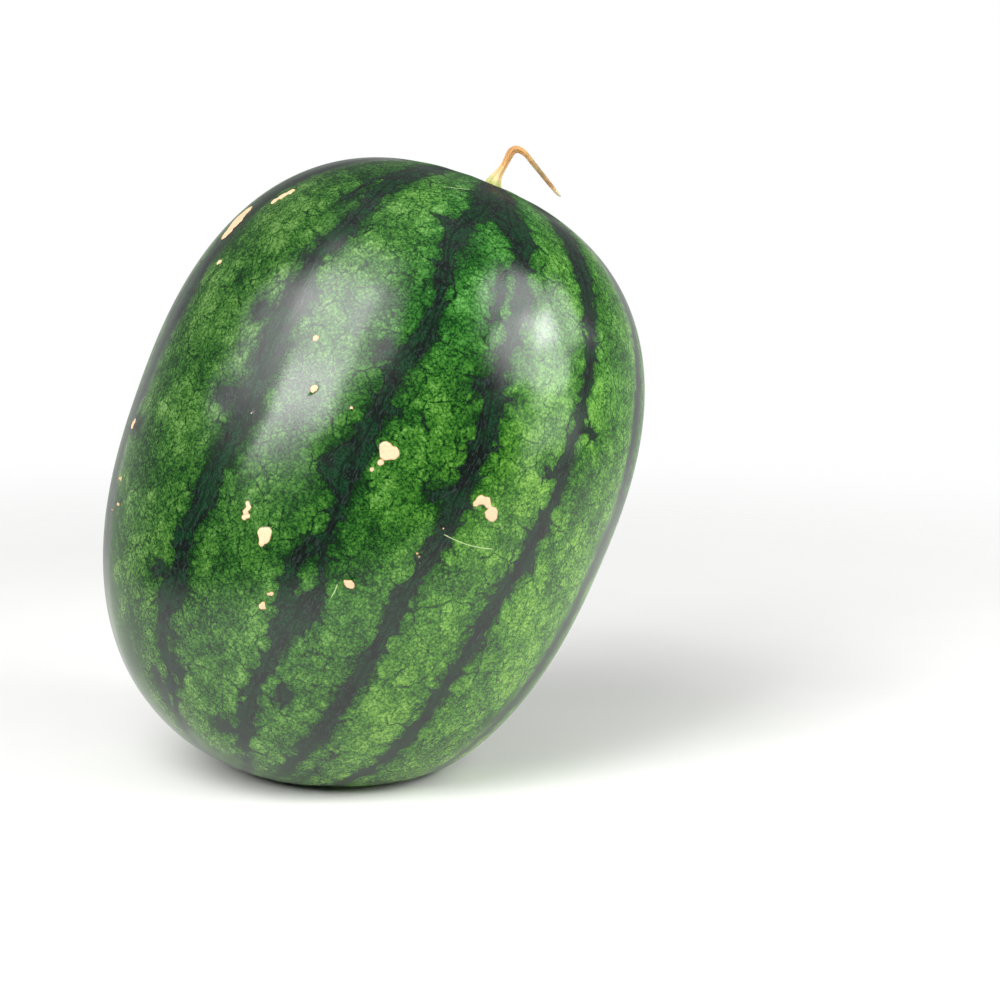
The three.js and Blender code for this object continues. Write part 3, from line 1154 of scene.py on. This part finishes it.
@dataclass(frozen=True)
class Softbox:
    """A soft studio light that faces the fruit, placed by azimuth from the front and height."""

    name: str
    azimuth: float
    elevation: float
    distance: float
    width: float
    height: float
    power: float

    def build(self, target: Vector) -> None:
        """Hangs the light.

        Args:
            target: what it faces, in metres.
        """
        data = bpy.data.lights.new(self.name, "AREA")
        data.shape, data.size, data.size_y = "RECTANGLE", self.width, self.height
        data.energy = self.power
        turn, rise = math.radians(self.azimuth), math.radians(self.elevation)
        way = Vector(
            (math.sin(turn) * math.cos(rise), -math.cos(turn) * math.cos(rise), math.sin(rise))
        )
        light = bpy.data.objects.new(self.name, data)
        light.location = target + way * self.distance
        light.rotation_euler = way.to_track_quat("Z", "Y").to_euler()
        light.visible_camera = False
        bpy.context.scene.collection.objects.link(light)


@dataclass
class Studio:
    """The camera, the lights and the pale floor."""

    elevation: float = 10.0
    distance: float = 1.3
    pixel: float = 0.00042
    picture: int = 1000
    sensor: float = 36.0
    middle_x: float = 369.5
    middle_y: float = 478.2
    floor_radius: float = 0.85
    floor_clear: float = 0.2
    floor_greys: tuple[COLOUR, COLOUR] = (srgb(228, 228, 226), srgb(235, 235, 233))
    floor_cloud: float = 90.0
    room_light: float = 0.1
    back_light: float = 0.1
    low_back_light: float = 0.4
    lights: tuple[Softbox, ...] = (
        Softbox("key_low", -38.0, 25.0, 1.35, 0.75, 0.3, 9.4),
        Softbox("key", -38.0, 38.0, 1.35, 0.8, 0.35, 6.9),
        Softbox("key_high", -40.0, 52.0, 1.35, 0.8, 0.35, 7.2),
        Softbox("key_top", -40.0, 66.0, 1.35, 0.8, 0.35, 2.4),
        Softbox("key_left", -72.0, 36.0, 1.35, 0.5, 0.7, 3.6),
        Softbox("key_right", -10.0, 42.0, 1.35, 0.4, 0.7, 3.1),
        Softbox("side", 76.0, 27.0, 1.3, 0.35, 0.3, 6.6),
        Softbox("side_low", 74.0, 12.0, 1.3, 0.5, 0.3, 3.7),
        Softbox("side_left", 58.0, 24.0, 1.3, 0.3, 0.5, 3.2),
        Softbox("side_right", 96.0, 26.0, 1.3, 0.35, 0.5, 2.6),
        Softbox("side_high", 72.0, 43.0, 1.3, 0.6, 0.3, 3.2),
        Softbox("side_down", 76.0, -4.0, 1.3, 0.6, 0.25, 1.6),
        Softbox("top", -20.0, 85.0, 1.5, 1.4, 1.4, 1.8),
    )

    def build(self, middle: Vector) -> None:
        """Sets up the studio around the fruit.

        Args:
            middle: the fruit's middle, in metres.
        """
        self._add_camera(middle)
        for light in self.lights:
            light.build(middle)
        self._add_floor()
        self._light_room()

    def _add_camera(self, middle: Vector) -> None:
        """Puts the camera where it sees the fruit's middle at the picture's place."""
        half = self.picture / 2
        right = (self.middle_x - half) * self.pixel
        up = (half - self.middle_y) * self.pixel
        turn = Matrix.Rotation(math.radians(90 - self.elevation), 4, "X")
        data = bpy.data.cameras.new("camera")
        data.sensor_width = self.sensor
        data.lens = self.distance / self.pixel / self.picture * self.sensor
        camera = bpy.data.objects.new("camera", data)
        camera.matrix_world = Matrix.Translation(
            middle - turn.to_3x3() @ Vector((right, up, -self.distance))
        ) @ turn
        bpy.context.scene.collection.objects.link(camera)
        bpy.context.scene.camera = camera

    def _add_floor(self) -> None:
        """Lays the pale floor."""
        bm = bmesh.new()
        bmesh.ops.create_circle(bm, cap_ends=True, segments=128, radius=self.floor_radius)
        mesh = mesh_of(bm, "floor")
        graph = Graph.of_material("floor")
        spot = graph.place()
        far = MM * graph.vector_maths("LENGTH", spot, output=1)
        mesh.materials.append(
            graph.finish(
                {
                    "Base Color": graph.mix(
                        graph.noise(spot, self.floor_cloud, 3.0), *self.floor_greys
                    ),
                    "Roughness": 0.55,
                    "Specular IOR Level": 0.2,
                    "Alpha": far.step(self.floor_radius, self.floor_clear),
                }
            )
        )
        floor = piece_of(mesh, points_of(mesh) / MM, {})

    def _light_room(self) -> None:
        """Fills the room with even light, and shows it white behind the fruit."""
        scene = bpy.context.scene
        scene.world = bpy.data.worlds.new("room")
        graph = Graph(scene.world)
        way = graph.add("ShaderNodeTexCoord", output=0)
        behind = graph.part(way, Axis.Y).step(-0.1, 0.6)
        low = graph.part(way, Axis.Z).step(0.3, -0.05)
        seen = graph.add("ShaderNodeLightPath", output=0)
        strength = self.room_light + behind * (low * self.low_back_light + self.back_light)
        strength = strength.most(seen)
        light = graph.add(
            "ShaderNodeBackground", None, {"Color": (1, 1, 1, 1), "Strength": strength}
        )
        graph.add("ShaderNodeOutputWorld", None, {"Surface": light}, output=None)
        scene.view_settings.view_transform = "Standard"


def main() -> None:
    """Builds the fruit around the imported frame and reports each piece."""
    logging.basicConfig(level=logging.INFO, format="%(message)s")
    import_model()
    shape = FruitShape()
    hidden_stripes, hidden_patches = HiddenStripes().grow()
    rind = Rind(
        shape,
        RindFinish(),
        STRIPES + hidden_stripes,
        PATCHES + hidden_patches,
        SCARS,
        SCRATCHES,
    )
    stem = Stem(shape, StemFinish())

    skin = rind.build(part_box("melon"))
    rind.dress(skin)
    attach(skin, "root")
    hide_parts("melon")

    stalk = stem.build(rind.middle)
    stem.dress(stalk)
    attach(stalk, "root")
    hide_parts("stem")

    Studio().build(rind.middle * MM)
    for piece in (skin, stalk):
        LOG.info("%s: %d faces", piece.name, len(piece.data.polygons))


if __name__ == "__main__":
    main()
